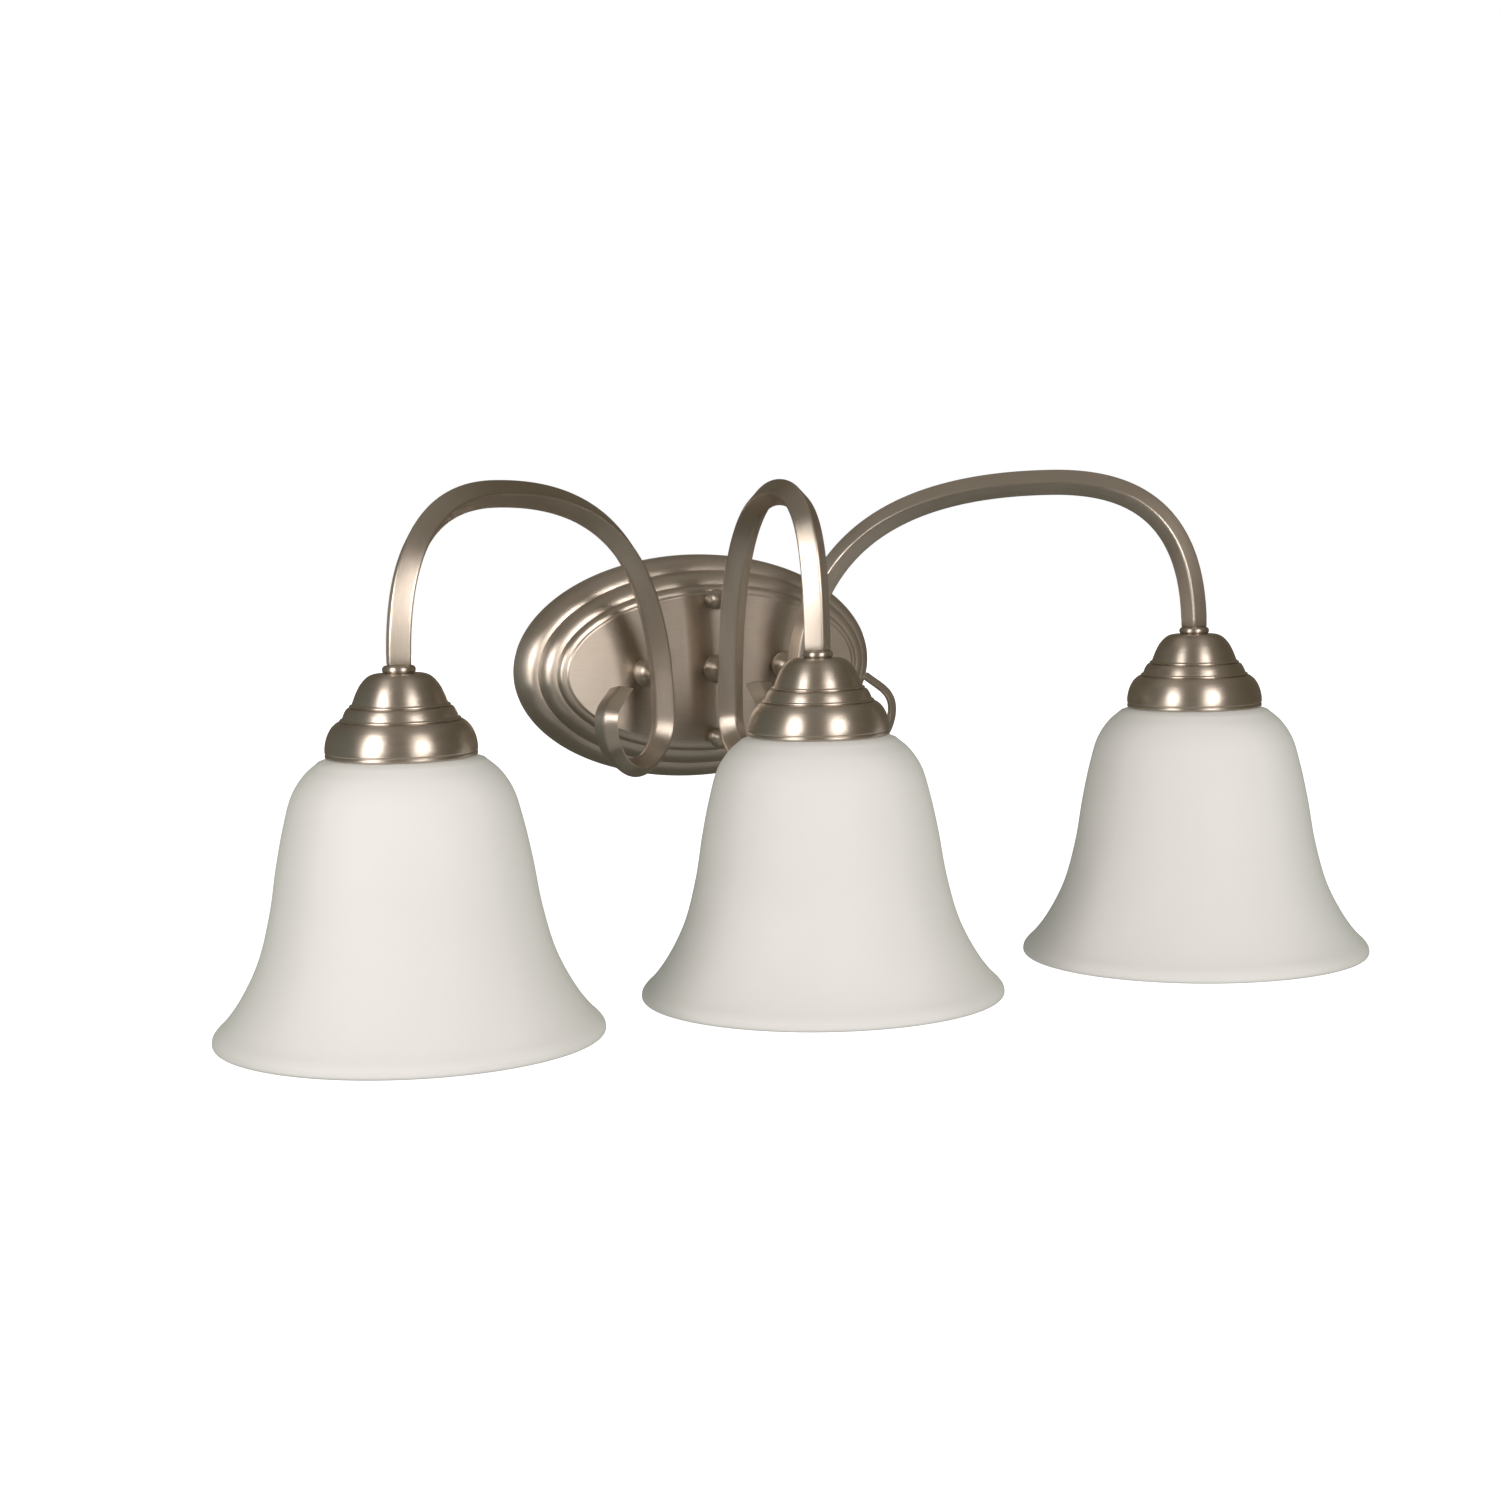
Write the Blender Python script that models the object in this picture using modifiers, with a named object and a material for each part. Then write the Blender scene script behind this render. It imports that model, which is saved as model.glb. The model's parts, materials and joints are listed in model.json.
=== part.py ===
"""Three-light vanity bar: oval stepped backplate, three gooseneck arms, bell shades.

Axes: X along the wall, Z up, and the light stands out from the wall towards -Y.
Origin: centre of the mounting strap's back face, on the wall.
Sizes are in millimetres and are turned into metres where they are used.
"""
import math

import bmesh
import bpy
from mathutils import Matrix, Vector

MM = 0.001
GAP = 0.3                       # clearance between touching pieces

# Overall sizes
LAMP_SPACING = 203.5            # centre lamp to side lamp, along the wall
SIDE_PROJECTION = 157.0         # side lamp axis in front of the wall
CENTRE_PROJECTION = 150.0       # centre lamp axis in front of the wall
CENTRE_DROP = 3.0               # the centre lamp hangs this much lower
ARM_SPACING = 38.3              # centre arm to side arm at the backplate
ARM_STANDOFF = 50.0             # arms' rear axis in front of the wall

# Backplate
PLATE_HALF_WIDTH = 97.8
PLATE_HALF_HEIGHT = 57.1
PLATE_DEPTH = 27.5
PLATE_WALL = 1.2
STUD_OFFSET = 35.1              # cap nuts above and below the centre
PLATE_SEGMENTS = 36

# Arms: a nearly square bar set on edge, sized by the half diagonals of its section
ARM_DEEP = 6.7                  # half diagonal in the plane of the arm's bend
ARM_WIDE = 7.3                  # half diagonal across that plane
ARM_CORNER = 0.08               # share of each face taken by the blunted edges
CHANNEL_SHARE = 0.74            # wire channel, as a share of the bar
CHANNEL_CORNER = 0.05
SEAT_CORNER = 0.01
TAIL_THICK = 2.3                # half thickness of the flattened scroll end
TAIL_WIDE = 7.6                 # half width of the scroll end
FOOT_HEIGHT = 18.3              # lower end of a side arm above the origin

# Lamp stack, heights measured from the lamp's datum
COLLAR_BOTTOM = 15.4
SHADE_RIM_RADIUS = 85.5
SHADE_RIM_HEIGHT = -141.3
SHADE_WALL = 3.6
NECK_HEIGHT = -12.9             # top face of the shade's neck
SOCKET_RADIUS = 19.0
THREAD_RADIUS = 3.0             # hollow nipples, M6
THREAD_BORE = 2.0
WIRE_RADIUS = 1.2

ROUND = 22                      # steps of a large turned part
SMALL = 12                      # steps of a small turned part

LAMPS = {
    "left": Vector((-LAMP_SPACING, -SIDE_PROJECTION, 0.0)),
    "centre": Vector((0.0, -CENTRE_PROJECTION, -CENTRE_DROP)),
    "right": Vector((LAMP_SPACING, -SIDE_PROJECTION, 0.0)),
}
ARM_ROOTS = {
    "left": Vector((-ARM_SPACING, -ARM_STANDOFF, 0.0)),
    "centre": Vector((0.0, -ARM_STANDOFF, 0.0)),
    "right": Vector((ARM_SPACING, -ARM_STANDOFF, 0.0)),
}
FORWARD = Matrix.Rotation(math.radians(90), 4, "X")     # turns +Z to -Y, away from the wall


# ---------------------------------------------------------------- scene and materials

for old in list(bpy.data.objects):
    bpy.data.objects.remove(old, do_unlink=True)

parts = bpy.data.collections.new("vanity_light_bar")
cutters = bpy.data.collections.new("cutters")
bpy.context.scene.collection.children.link(parts)
bpy.context.scene.collection.children.link(cutters)


def material(name, colour, roughness, metallic):
    made = bpy.data.materials.new(name)
    made.use_nodes = True
    shader = made.node_tree.nodes["Principled BSDF"]
    shader.inputs["Base Color"].default_value = (*colour, 1.0)
    shader.inputs["Roughness"].default_value = roughness
    shader.inputs["Metallic"].default_value = metallic
    return made


NICKEL = material("brushed_nickel", (0.46, 0.41, 0.35), 0.32, 1.0)
ZINC = material("zinc_steel", (0.60, 0.60, 0.58), 0.40, 1.0)
GREEN = material("green_screw", (0.05, 0.35, 0.12), 0.45, 0.3)
PORCELAIN = material("porcelain", (0.86, 0.85, 0.81), 0.30, 0.0)
ALUMINIUM = material("aluminium", (0.75, 0.75, 0.74), 0.35, 1.0)
OPAL = material("opal_glass", (0.90, 0.88, 0.84), 0.35, 0.0)
BULB = material("bulb_glass", (0.95, 0.94, 0.92), 0.25, 0.0)
LEAD = material("wire_insulation", (0.10, 0.10, 0.10), 0.55, 0.0)


# ---------------------------------------------------------------- shape helpers

def add(name, mesh, look, at=(0, 0, 0), turn=None, home=parts):
    """Wrap a mesh in an object placed at a point given in millimetres."""
    made = bpy.data.objects.new(name, mesh)
    made.matrix_world = Matrix.Translation(Vector(at) * MM) @ (turn or Matrix())
    if look:
        mesh.materials.append(look)
    mesh.shade_smooth()
    mesh.set_sharp_from_angle(angle=math.radians(35))
    home.objects.link(made)
    return made


def turned(name, profile, look, at, steps=SMALL, turn=None, closed=False, home=parts):
    """Turn a profile of (radius, height) points about its own Z axis.

    The profile runs down the outer side. A closed one makes a ring; an open one ends on the axis."""
    mesh = bpy.data.meshes.new(name)
    points = [(radius * MM, 0.0, height * MM) for radius, height in profile]
    count = len(points)
    edges = [(i, (i + 1) % count) for i in range(count if closed else count - 1)]
    mesh.from_pydata(points, edges, [])
    made = add(name, mesh, look, at, turn, home)
    screw = made.modifiers.new("turn", "SCREW")
    screw.axis = "Z"
    screw.steps = steps
    screw.render_steps = steps
    screw.use_merge_vertices = True
    screw.merge_threshold = 0.00001
    screw.use_normal_calculate = False
    return made


def rod(name, radius, low, high, look, at, steps=SMALL, turn=None, home=parts):
    """A plain cylinder from height low to height high on its own axis."""
    mesh = bpy.data.meshes.new(name)
    shape = bmesh.new()
    place = Matrix.Translation((0, 0, (low + high) / 2 * MM))
    bmesh.ops.create_cone(shape, cap_ends=True, segments=steps, radius1=radius * MM,
                          radius2=radius * MM, depth=(high - low) * MM, matrix=place)
    shape.to_mesh(mesh)
    shape.free()
    return add(name, mesh, look, at, turn, home)


def block(name, size, look, at, home=parts):
    """A box of the given size, centred on a point."""
    mesh = bpy.data.meshes.new(name)
    shape = bmesh.new()
    bmesh.ops.create_cube(shape, size=1.0, matrix=Matrix.Diagonal((*(Vector(size) * MM), 1.0)))
    shape.to_mesh(mesh)
    shape.free()
    return add(name, mesh, look, at, None, home)


def loft(name, rings, look, home=parts):
    """Join rings of equal length, listed so that each is crossed by the next, and cap both ends."""
    mesh = bpy.data.meshes.new(name)
    shape = bmesh.new()
    rows = [[shape.verts.new(point * MM) for point in ring] for ring in rings]
    count = len(rows[0])
    for near, far in zip(rows, rows[1:]):
        for i in range(count):
            j = (i + 1) % count
            shape.faces.new((near[i], near[j], far[j], far[i]))
    shape.faces.new(rows[0][::-1])
    shape.faces.new(rows[-1])
    bmesh.ops.recalc_face_normals(shape, faces=shape.faces)
    shape.to_mesh(mesh)
    shape.free()
    return add(name, mesh, look, home=home)


def cut(target, *tools):
    """Subtract each tool from the target and keep the tool as a hidden cutter."""
    for tool in tools:
        tool.hide_render = True
        tool.display_type = "WIRE"
        cutting = target.modifiers.new("cut", "BOOLEAN")
        cutting.operation = "DIFFERENCE"
        cutting.solver = "EXACT"
        cutting.object = tool


def arc(centre, radii, start, end, steps):
    """Points of an elliptical arc; angles in degrees from the profile's first axis."""
    angles = [math.radians(start + (end - start) * i / steps) for i in range(steps + 1)]
    return [Vector((centre[0] + radii[0] * math.cos(a), centre[1] + radii[1] * math.sin(a)))
            for a in angles]


# ---------------------------------------------------------------- wall plate and its fixings

def ellipse(inset, forward):
    """One ring of the backplate, set in from its outline and moved forward from the wall."""
    wide = PLATE_HALF_WIDTH - inset
    high = PLATE_HALF_HEIGHT - inset
    return [Vector((wide * math.cos(a), -forward, high * math.sin(a)))
            for a in (2 * math.pi * i / PLATE_SEGMENTS for i in range(PLATE_SEGMENTS))]


def plate_steps():
    """Inset and forward distance of the three rounded steps, from the wall to the panel."""
    first = arc((8.0, 4.0), (8.0, 11.5), 180, 90, 3)
    second = arc((15.0, 16.3), (6.6, 7.0), 180, 90, 2)
    third = arc((18.0, 24.0), (2.6, 2.7), 180, 90, 2)
    return [Vector((0.0, 0.0))] + first + second + third + [Vector((19.7, PLATE_DEPTH))]


def backplate():
    outer = plate_steps()
    inner = [Vector(p) for p in ((PLATE_WALL, 0.0), (PLATE_WALL + 0.2, 5.0), (3.8, 11.2), (9.2, 14.3),
                                 (10.6, 19.2), (16.4, 22.4), (20.2, PLATE_DEPTH - PLATE_WALL))]
    rings = [ellipse(*p) for p in reversed(outer)] + [ellipse(*p) for p in inner]
    plate = loft("backplate", rings, NICKEL)
    holes = [rod(f"plate_hole_{name}", THREAD_RADIUS + GAP, PLATE_DEPTH - 5, PLATE_DEPTH + 5, None,
                 (root.x, 0, 0), turn=FORWARD, home=cutters) for name, root in ARM_ROOTS.items()]
    holes += [rod(f"plate_stud_hole_{sign}", 2.1 + GAP, PLATE_DEPTH - 5, PLATE_DEPTH + 5, None,
                  (0, 0, sign * STUD_OFFSET), turn=FORWARD, home=cutters) for sign in (-1, 1)]
    cut(plate, *holes)


STRAP_THICK = 2.5
BOX_SCREW_OFFSET = 44.45        # standard 3 1/2 inch box centres


def mounting_strap():
    strap = block("mounting_strap", (19.0, STRAP_THICK, 104.0), ZINC, (0, -STRAP_THICK / 2, 0))
    holes = []
    for sign in (-1, 1):
        holes.append(rod(f"strap_box_hole_{sign}", 2.3 + GAP, -3, 6, None,
                         (0, 0, sign * BOX_SCREW_OFFSET), turn=FORWARD, home=cutters))
        holes.append(rod(f"strap_stud_hole_{sign}", 2.1 + GAP, -3, 6, None,
                         (0, 0, sign * STUD_OFFSET), turn=FORWARD, home=cutters))
    holes.append(rod("strap_ground_hole", 1.8 + GAP, -3, 6, None, (5, 0, 18), turn=FORWARD,
                     home=cutters))
    cut(strap, *holes)


def screw_shape(shank, tip, seat, head, thick):
    """Profile of a pan-head screw, head first."""
    top = seat + thick
    return [(0, top), (head * 0.6, top), (head, top - thick * 0.4), (head, seat), (shank, seat),
            (shank, tip), (0, tip)]


def wall_fixings():
    seat = STRAP_THICK + GAP
    for name, sign in (("upper", 1), ("lower", -1)):
        turned(f"box_screw_{name}", screw_shape(2.1, -12.0, seat, 3.9, 2.2), ZINC,
               (0, 0, sign * BOX_SCREW_OFFSET), turn=FORWARD)
        rod(f"plate_stud_{name}", 2.0, 0.3, PLATE_DEPTH + 5.0, ZINC, (0, 0, sign * STUD_OFFSET),
            turn=FORWARD)
        ball = arc((0, PLATE_DEPTH + 6.2), (5.2, 5.2), 90, -60, 6)
        base = PLATE_DEPTH + GAP
        profile = ball + [Vector((3.2, base)), Vector((2.0 + GAP, base)),
                          Vector((2.0 + GAP, base + 6)), Vector((0, base + 6))]
        turned(f"cap_nut_{name}", profile, NICKEL, (0, 0, sign * STUD_OFFSET), turn=FORWARD)
    turned("ground_screw", screw_shape(1.6, 0.3, seat, 3.2, 1.8), GREEN, (5, 0, 18), steps=12,
           turn=FORWARD)


# ---------------------------------------------------------------- arms

PATH_STEPS = (4, 6, 5, 12, 8)   # points on each stretch of an arm, from the scroll's end

# Path of an arm in its own upright plane: (reach, height), then the direction and the two
# handle lengths of each Bezier point, from the scroll's end round to the foot.
SCROLL = [
    ((32.6, -4.2), 320, 0, 8.5),
    ((46.4, -21.0), 270, 9.0, 12.0),
    ((22.5, -44.0), 180, 13.0, 13.0),
    ((-1.8, -20.6), 90, 12.5, None),
]
SIDE_ARCH = [81.0, ((127.0, 90.8), 0, 80.0, 37.6), ((196.8, FOOT_HEIGHT), 270, 58.7, 0)]
CENTRE_ARCH = [58.0, ((61.0, 88.8), 0, 44.5, 31.5), ((100.0, FOOT_HEIGHT - CENTRE_DROP), 270, 50, 0)]


def heading(degrees):
    return Vector((math.cos(math.radians(degrees)), math.sin(math.radians(degrees))))


def arm_line(arch):
    """Points along an arm, with the distance run at each."""
    knots = [list(k) for k in SCROLL] + [list(k) for k in arch[1:]]
    knots[len(SCROLL) - 1][3] = arch[0]
    line = []
    for (a, turn_a, _, out_a), (b, turn_b, in_b, _), steps in zip(knots, knots[1:], PATH_STEPS):
        first, last = Vector(a), Vector(b)
        pull_a = first + heading(turn_a) * out_a
        pull_b = last - heading(turn_b) * in_b
        for step in range(steps):
            t = step / steps
            line.append(first * (1 - t) ** 3 + pull_a * 3 * t * (1 - t) ** 2
                        + pull_b * 3 * t * t * (1 - t) + last * t ** 3)
    return line + [Vector(knots[-1][0])]


def arm_section(out, side, corner):
    """Eight points round a square bar set on edge, from its half diagonals, with blunted corners."""
    flat = 1 - corner
    quarter = [(out * flat, side * corner), (out * corner, side * flat)]
    half = quarter + [(-u, v) for u, v in reversed(quarter)]
    return half + [(-u, -v) for u, v in half]


def arm_frames(name):
    """World position, outward direction and distance run for each point of an arm's path."""
    root, lamp = ARM_ROOTS[name], LAMPS[name]
    ahead = Vector((lamp.x - root.x, lamp.y - root.y, 0)).normalized()
    line = arm_line(CENTRE_ARCH if name == "centre" else SIDE_ARCH)
    frames, run = [], 0.0
    for i, point in enumerate(line):
        along = (line[min(i + 1, len(line) - 1)] - line[max(i - 1, 0)]).normalized()
        if i == len(line) - 1:
            along = heading(270)
        run += (point - line[i - 1]).length if i else 0.0
        out = Vector((along.y, -along.x))
        frames.append((root + ahead * point.x + Vector((0, 0, point.y)),
                       ahead * out.x + Vector((0, 0, out.y)), run))
    return frames, ahead.cross(Vector((0, 0, 1)))


def arm_rings(frames, side, sizes, corner):
    rings = []
    for place, out, run in frames:
        half_out, half_side = sizes(run)
        rings.append([place + out * u + side * v for u, v in arm_section(half_out, half_side, corner)])
    return rings


def bar_sizes(run):
    """The bar is flat at the scroll's end and square by the time it passes the spacer."""
    blend = min(max((run - 22.0) / 60.0, 0.0), 1.0)
    blend = blend * blend * (3 - 2 * blend)
    return (TAIL_THICK + (ARM_DEEP - TAIL_THICK) * blend,
            TAIL_WIDE + (ARM_WIDE - TAIL_WIDE) * blend)


def channel_sizes(_):
    return ARM_DEEP * CHANNEL_SHARE, ARM_WIDE * CHANNEL_SHARE


def seat_sizes(_):
    return ARM_DEEP + 1.4 * GAP, ARM_WIDE + 1.5 * GAP


def rising(frames, height):
    """The path from the first point of the rear upright that is above the given height."""
    start = sum(PATH_STEPS[:3])
    while frames[start][0].z < height:
        start += 1
    return frames[start:]


def arm(name):
    frames, side = arm_frames(name)
    bar = loft(f"arm_{name}", arm_rings(frames, side, bar_sizes, ARM_CORNER), NICKEL)
    inner = rising(frames, -12)
    last = inner[-1]
    inner = inner[:-1] + [(last[0] - Vector((0, 0, 5)), last[1], last[2])]
    channel = loft(f"channel_{name}", arm_rings(inner, side, channel_sizes, CHANNEL_CORNER), None,
                   home=cutters)
    entry = rod(f"arm_entry_{name}", THREAD_RADIUS + GAP, ARM_STANDOFF - 12, ARM_STANDOFF, None,
                (ARM_ROOTS[name].x, 0, 0), turn=FORWARD, home=cutters)
    cut(bar, channel, entry)


def spacer(name):
    """Ball and neck between the plate and an arm, notched to sit on the arm's rear edge."""
    x = ARM_ROOTS[name].x
    ball = arc((0, PLATE_DEPTH + 6.1), (7.4, 7.4), 62, -52, 8)
    top = ARM_STANDOFF - 4.2
    bore = THREAD_RADIUS + GAP
    profile = [Vector((bore, top)), Vector((4.3, top))] + ball + [Vector((bore, PLATE_DEPTH + GAP))]
    piece = turned(f"spacer_{name}", profile, NICKEL, (x, 0, 0), closed=True, turn=FORWARD)
    frames, side = arm_frames(name)
    seat = loft(f"spacer_seat_{name}", arm_rings(rising(frames, -100)[:5], side, seat_sizes, SEAT_CORNER),
                None, home=cutters)
    cut(piece, seat)


def spacer_hardware(name):
    x = ARM_ROOTS[name].x
    tube = [(THREAD_BORE, 46.2), (THREAD_RADIUS, 46.2), (THREAD_RADIUS, 21.0), (THREAD_BORE, 21.0)]
    turned(f"spacer_nipple_{name}", tube, ZINC, (x, 0, 0), steps=12, turn=FORWARD, closed=True)
    top = PLATE_DEPTH - PLATE_WALL - GAP
    nut = rod(f"lock_nut_{name}", 5.6, top - 3.0, top, ZINC, (x, 0, 0), steps=6, turn=FORWARD)
    cut(nut, rod(f"lock_nut_bore_{name}", THREAD_RADIUS + GAP, 10, 40, None, (x, 0, 0), steps=12,
                 turn=FORWARD, home=cutters))


def lead(name):
    """Insulated lead from behind the plate, through the spacer and the arm, to the lamp holder."""
    root, lamp = ARM_ROOTS[name], LAMPS[name]
    frames, _ = arm_frames(name)
    run = [place for place, _, _ in rising(frames, 9)]
    path = [Vector((root.x, -12.0, 0)), Vector((root.x, -30.0, 0)), Vector((root.x, -46.0, 0)),
            Vector((root.x, -48.3, 0.9)), root.lerp(run[0], 0.35) + Vector((0, 0, 1.0))]
    path += run[:-1] + [lamp + Vector((0, 0, FOOT_HEIGHT)), lamp + Vector((0, 0, 8.6))]
    curve = bpy.data.curves.new(f"lead_{name}", "CURVE")
    curve.dimensions = "3D"
    curve.bevel_depth = WIRE_RADIUS * MM
    curve.bevel_resolution = 1
    curve.use_fill_caps = True
    line = curve.splines.new("POLY")
    line.points.add(len(path) - 1)
    for slot, place in zip(line.points, path):
        slot.co = (*(place * MM), 1.0)
    curve.materials.append(LEAD)
    parts.objects.link(bpy.data.objects.new(f"lead_{name}", curve))


# ---------------------------------------------------------------- lamps

def collar(name, at):
    low = COLLAR_BOTTOM
    top = FOOT_HEIGHT - GAP
    bore = THREAD_RADIUS + GAP
    profile = [(bore, top), (6.5, top), (7.2, top - 0.7), (7.2, low + 0.7), (6.5, low), (bore, low)]
    turned(f"foot_collar_{name}", profile, NICKEL, at, steps=14, closed=True)


FITTER_TOP = [(9.6, 15.0), (13.2, 14.4), (15.6, 12.8), (17.8, 10.0), (19.6, 6.0), (20.8, 1.6)]
FITTER_STEP = [(22.6, 0.7), (24.4, -1.8), (25.4, -4.3)]
FITTER_SKIRT = [(27.2, -5.2), (30.0, -8.2), (32.2, -12.6), (33.0, -17.0), (32.8, -20.8)]


def fitter(name, at):
    """Stepped cup that hangs under the collar and covers the lamp holder."""
    outer = [Vector(p) for p in FITTER_TOP + FITTER_STEP + FITTER_SKIRT]
    bore = THREAD_RADIUS + GAP
    inner = [Vector(p) for p in ((31.8, -20.8), (31.9, -16.8), (28.9, -8.8), (24.4, -5.2), (19.7, 1.2),
                                 (16.6, 9.6), (12.6, 13.4), (bore, 14.0))]
    profile = [Vector((bore, 15.0))] + outer + inner
    turned(f"fitter_{name}", profile, NICKEL, at, steps=ROUND, closed=True)


def foot_hardware(name, at):
    tube = [(THREAD_BORE, 23.0), (THREAD_RADIUS, 23.0), (THREAD_RADIUS, 6.0), (THREAD_BORE, 6.0)]
    turned(f"foot_nipple_{name}", tube, ZINC, at, steps=12, closed=True)
    nut = rod(f"foot_nut_{name}", 5.6, 10.3, 13.5, ZINC, at, steps=6)
    cut(nut, rod(f"foot_nut_bore_{name}", THREAD_RADIUS + GAP, 5, 20, None, at, steps=12, home=cutters))


SHELL_RADIUS = 14.0
SHELL_WALL = 0.5


def lamp_holder(name, at):
    """Porcelain body: a blind bore for the nipple, a flange over the shade and an open mouth."""
    bore = THREAD_RADIUS + GAP
    cup = SHELL_RADIUS + GAP
    profile = [(0, 5.7), (bore, 5.7), (bore, 9.6), (9.0, 9.6), (9.0, 4.0), (17.0, -1.0),
               (SOCKET_RADIUS, -5.0), (SOCKET_RADIUS, -10.0), (25.0, -10.0), (25.0, NECK_HEIGHT + GAP),
               (SOCKET_RADIUS, NECK_HEIGHT + GAP), (SOCKET_RADIUS, -42.0), (cup, -42.0), (cup, -8.0),
               (0, -8.0)]
    turned(f"lamp_holder_{name}", profile, PORCELAIN, at, steps=16)
    top = -8.3
    inside = SHELL_RADIUS - SHELL_WALL
    profile = [(0, top), (SHELL_RADIUS, top), (SHELL_RADIUS, -40.5), (inside, -40.5),
               (inside, top - SHELL_WALL), (0, top - SHELL_WALL)]
    turned(f"screw_shell_{name}", profile, ALUMINIUM, at, steps=16)


def shade_line():
    """Outer line of the bell from its neck hole to the rim."""
    neck = [(20.5, NECK_HEIGHT), (26.0, NECK_HEIGHT), (30.2, -16.4), (31.2, -20.8)]
    shoulder = [(36.2, -22.7), (42.4, -28.2), (47.8, -36.5)]
    body = [(51.8, -50.0), (55.4, -67.0), (59.0, -88.0), (64.8, -109.0), (73.6, -126.0)]
    return [Vector(p) for p in neck + shoulder + body + [(SHADE_RIM_RADIUS, SHADE_RIM_HEIGHT)]]


def shade(name, at):
    """Satin glass bell: the wall is an even offset of its outer line, open at neck and rim."""
    outer = shade_line()
    inner = []
    for i in range(1, len(outer)):
        along = (outer[min(i + 1, len(outer) - 1)] - outer[i - 1]).normalized()
        inner.append(outer[i] + Vector((along.y, -along.x)) * SHADE_WALL)
    under = NECK_HEIGHT - SHADE_WALL
    inner = [Vector((outer[0].x, under)), Vector((25.6, under))] + inner[2:]
    turned(f"shade_{name}", outer + inner[::-1], OPAL, at, steps=ROUND, closed=True)


RING_TOP = NECK_HEIGHT - SHADE_WALL - GAP
RING_CLEARANCE = 0.8            # lets the faceted ring turn on the thread


def shade_ring(name, at):
    """Threaded ring that clamps the shade's neck up against the lamp holder's flange."""
    bore = SOCKET_RADIUS + RING_CLEARANCE
    profile = [(24.6, RING_TOP), (24.6, RING_TOP - 2.0), (22.6, RING_TOP - 3.0),
               (22.6, RING_TOP - 8.0), (bore, RING_TOP - 8.0), (bore, RING_TOP)]
    turned(f"shade_ring_{name}", profile, PORCELAIN, at, steps=16, closed=True)


BULB_CAP_RADIUS = 13.0
BULB_CAP_TOP = -17.0
BULB_CAP_BOTTOM = -42.0


def bulb(name, at):
    """Ordinary screw bulb hanging down: metal cap and pear-shaped glass."""
    top = BULB_CAP_TOP
    cap = [(0, top + 3.0), (3.5, top + 3.0), (5.0, top), (BULB_CAP_RADIUS, top - 4.0),
           (BULB_CAP_RADIUS, BULB_CAP_BOTTOM), (0, BULB_CAP_BOTTOM)]
    turned(f"bulb_cap_{name}", cap, ALUMINIUM, at, steps=16)
    start = BULB_CAP_BOTTOM - GAP
    globe = arc((0, -95.0), (29.5, 29.5), 28, -90, 6)
    neck = [Vector(p) for p in ((0, start), (12.4, start), (14.4, start - 12.0), (19.8, start - 25.0))]
    turned(f"bulb_glass_{name}", neck + globe, BULB, at, steps=18)


# ---------------------------------------------------------------- assembly

backplate()
mounting_strap()
wall_fixings()
for side_name in ("left", "centre", "right"):
    datum = LAMPS[side_name]
    arm(side_name)
    spacer(side_name)
    spacer_hardware(side_name)
    lead(side_name)
    collar(side_name, datum)
    fitter(side_name, datum)
    foot_hardware(side_name, datum)
    lamp_holder(side_name, datum)
    shade(side_name, datum)
    shade_ring(side_name, datum)
    bulb(side_name, datum)
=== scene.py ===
"""Vanity light bar: fine shapes, finishes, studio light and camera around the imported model."""

import json
import math

import bmesh
import bpy
from mathutils import Matrix, Vector


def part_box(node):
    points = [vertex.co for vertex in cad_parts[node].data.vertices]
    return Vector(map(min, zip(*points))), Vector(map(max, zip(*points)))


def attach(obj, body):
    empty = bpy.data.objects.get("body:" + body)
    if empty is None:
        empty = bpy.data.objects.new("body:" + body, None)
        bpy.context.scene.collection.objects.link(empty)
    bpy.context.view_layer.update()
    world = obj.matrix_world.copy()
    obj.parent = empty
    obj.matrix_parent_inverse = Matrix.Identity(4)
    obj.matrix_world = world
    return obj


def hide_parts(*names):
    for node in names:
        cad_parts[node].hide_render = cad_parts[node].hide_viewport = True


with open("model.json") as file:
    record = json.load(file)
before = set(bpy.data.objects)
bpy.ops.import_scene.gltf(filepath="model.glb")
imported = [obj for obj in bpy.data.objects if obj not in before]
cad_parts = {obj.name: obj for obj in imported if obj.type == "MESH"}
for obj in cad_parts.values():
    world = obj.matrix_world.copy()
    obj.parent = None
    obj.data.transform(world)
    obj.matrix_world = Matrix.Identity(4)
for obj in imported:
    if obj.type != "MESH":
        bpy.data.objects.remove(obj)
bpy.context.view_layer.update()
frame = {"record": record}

MM = 0.001                      # shapes below are in millimetres
record = frame["record"]
BODY_OF = {node: body for body, nodes in record["behaviour"]["bodies"].items() for node in nodes}
SIDES = ("left", "centre", "right")


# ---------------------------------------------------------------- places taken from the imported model

FITTER_TOP = 15.0               # top of a fitter above its lamp's datum
NIPPLE_RADIUS, NIPPLE_BORE = 3.0, 2.0
NIPPLE_HOLE = 3.3               # hole that a nipple passes through
NECK_RADIUS, NECK_TOP = 20.5, -12.9     # hole and top face of a shade's neck
SHADE_WALL = 3.6
SOCKET_RADIUS = 19.0            # outside of a lamp holder's threaded barrel
HOLDER_BOTTOM = -42.0
RING_PITCH = 2.54               # thread between a shade ring and its lamp holder
BULB_PITCH = 3.63               # thread of an ordinary screw bulb
PLATE_WALL = 1.2
PLATE_DEPTH = -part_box("backplate")[0].y / MM
PLATE_HALF_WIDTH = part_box("backplate")[1].x / MM
PLATE_HALF_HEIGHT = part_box("backplate")[1].z / MM
ARM_STANDOFF = 50.0


def middle(node):
    low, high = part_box(node)
    return (Vector(low) + Vector(high)) / 2 / MM


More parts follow.
